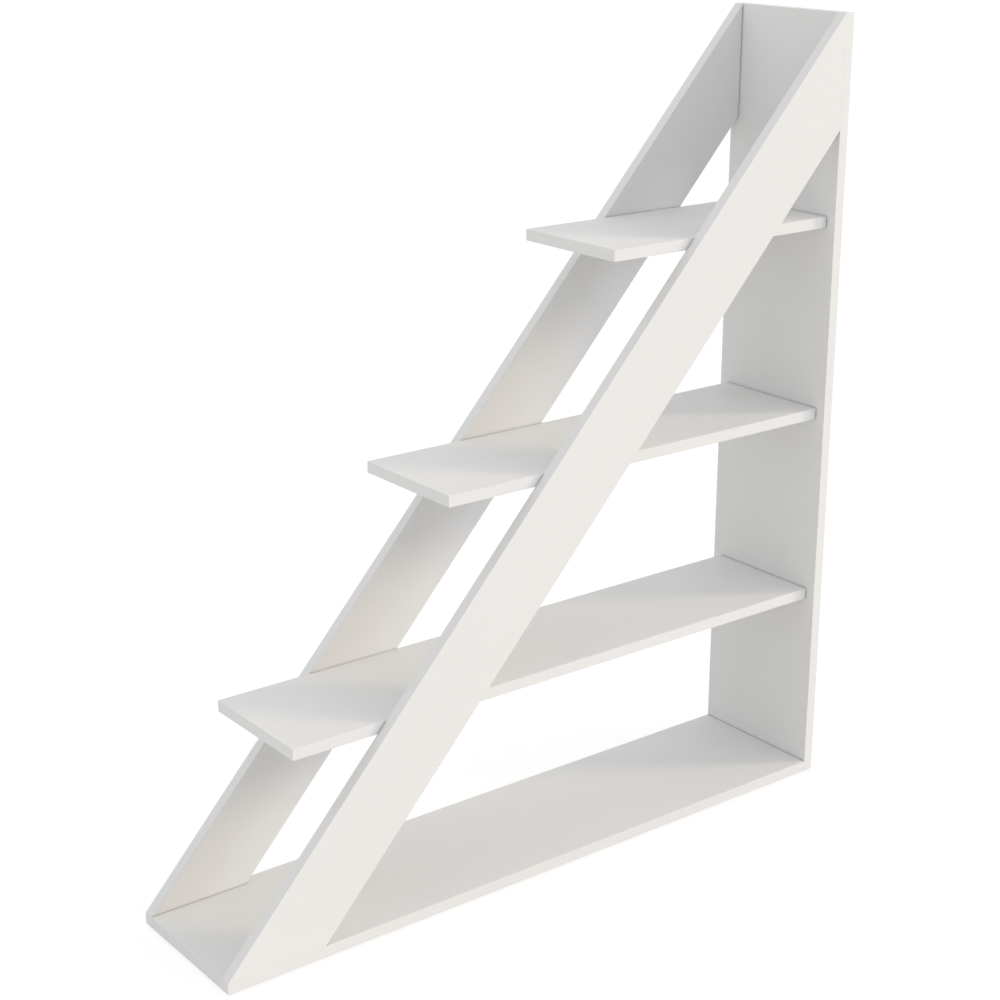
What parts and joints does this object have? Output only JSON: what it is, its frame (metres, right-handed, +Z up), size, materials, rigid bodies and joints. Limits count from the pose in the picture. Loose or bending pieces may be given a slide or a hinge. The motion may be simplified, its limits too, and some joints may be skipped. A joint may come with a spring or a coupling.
{
  "type": "staircase bookshelf",
  "caption": "Free-standing white staircase bookshelf: two slanted stringers rise from a base board to a tall upright and carry stepped shelves between them.",
  "frame": {"origin": "on the floor, under the middle of the unit's outline", "axes": "+X along the climb towards the upright, +Y towards the rear, +Z up"},
  "size_m": [1.1816, 0.246, 1.304],
  "materials": {
    "white_board": "white melamine facing on chipboard, matt",
    "edge_band": "white edge banding, satin",
    "zinc_plated_steel": "bright zinc plating",
    "cast_zinc": "die-cast zinc, dull",
    "white_cap": "white plastic, satin",
    "beech": "bare beech",
    "glide_plastic": "off-white hard plastic, matt"
  },
  "bodies": {
    "root": {"base_panel": "white_board", "upright_panel": "white_board", "front_stringer": "white_board", "rear_stringer": "white_board", "lower_shelf": "white_board", "middle_shelf": "white_board", "upper_shelf": "white_board", "base_edge_bands": "edge_band", "upright_edge_bands": "edge_band", "front_stringer_edge_bands": "edge_band", "rear_stringer_edge_bands": "edge_band", "lower_shelf_edge_bands": "edge_band", "middle_shelf_edge_bands": "edge_band", "upper_shelf_edge_bands": "edge_band", "shelf_end_screws": "zinc_plated_steel", "stringer_head_screws": "zinc_plated_steel", "base_end_screws": "zinc_plated_steel", "stringer_foot_screws": "zinc_plated_steel", "cam_bolts": "zinc_plated_steel", "glide_nails": "zinc_plated_steel", "shelf_cams": "cast_zinc", "screw_cover_caps": "white_cap", "shelf_dowels": "beech", "floor_glides": "glide_plastic"}
  },
  "joints": []
}
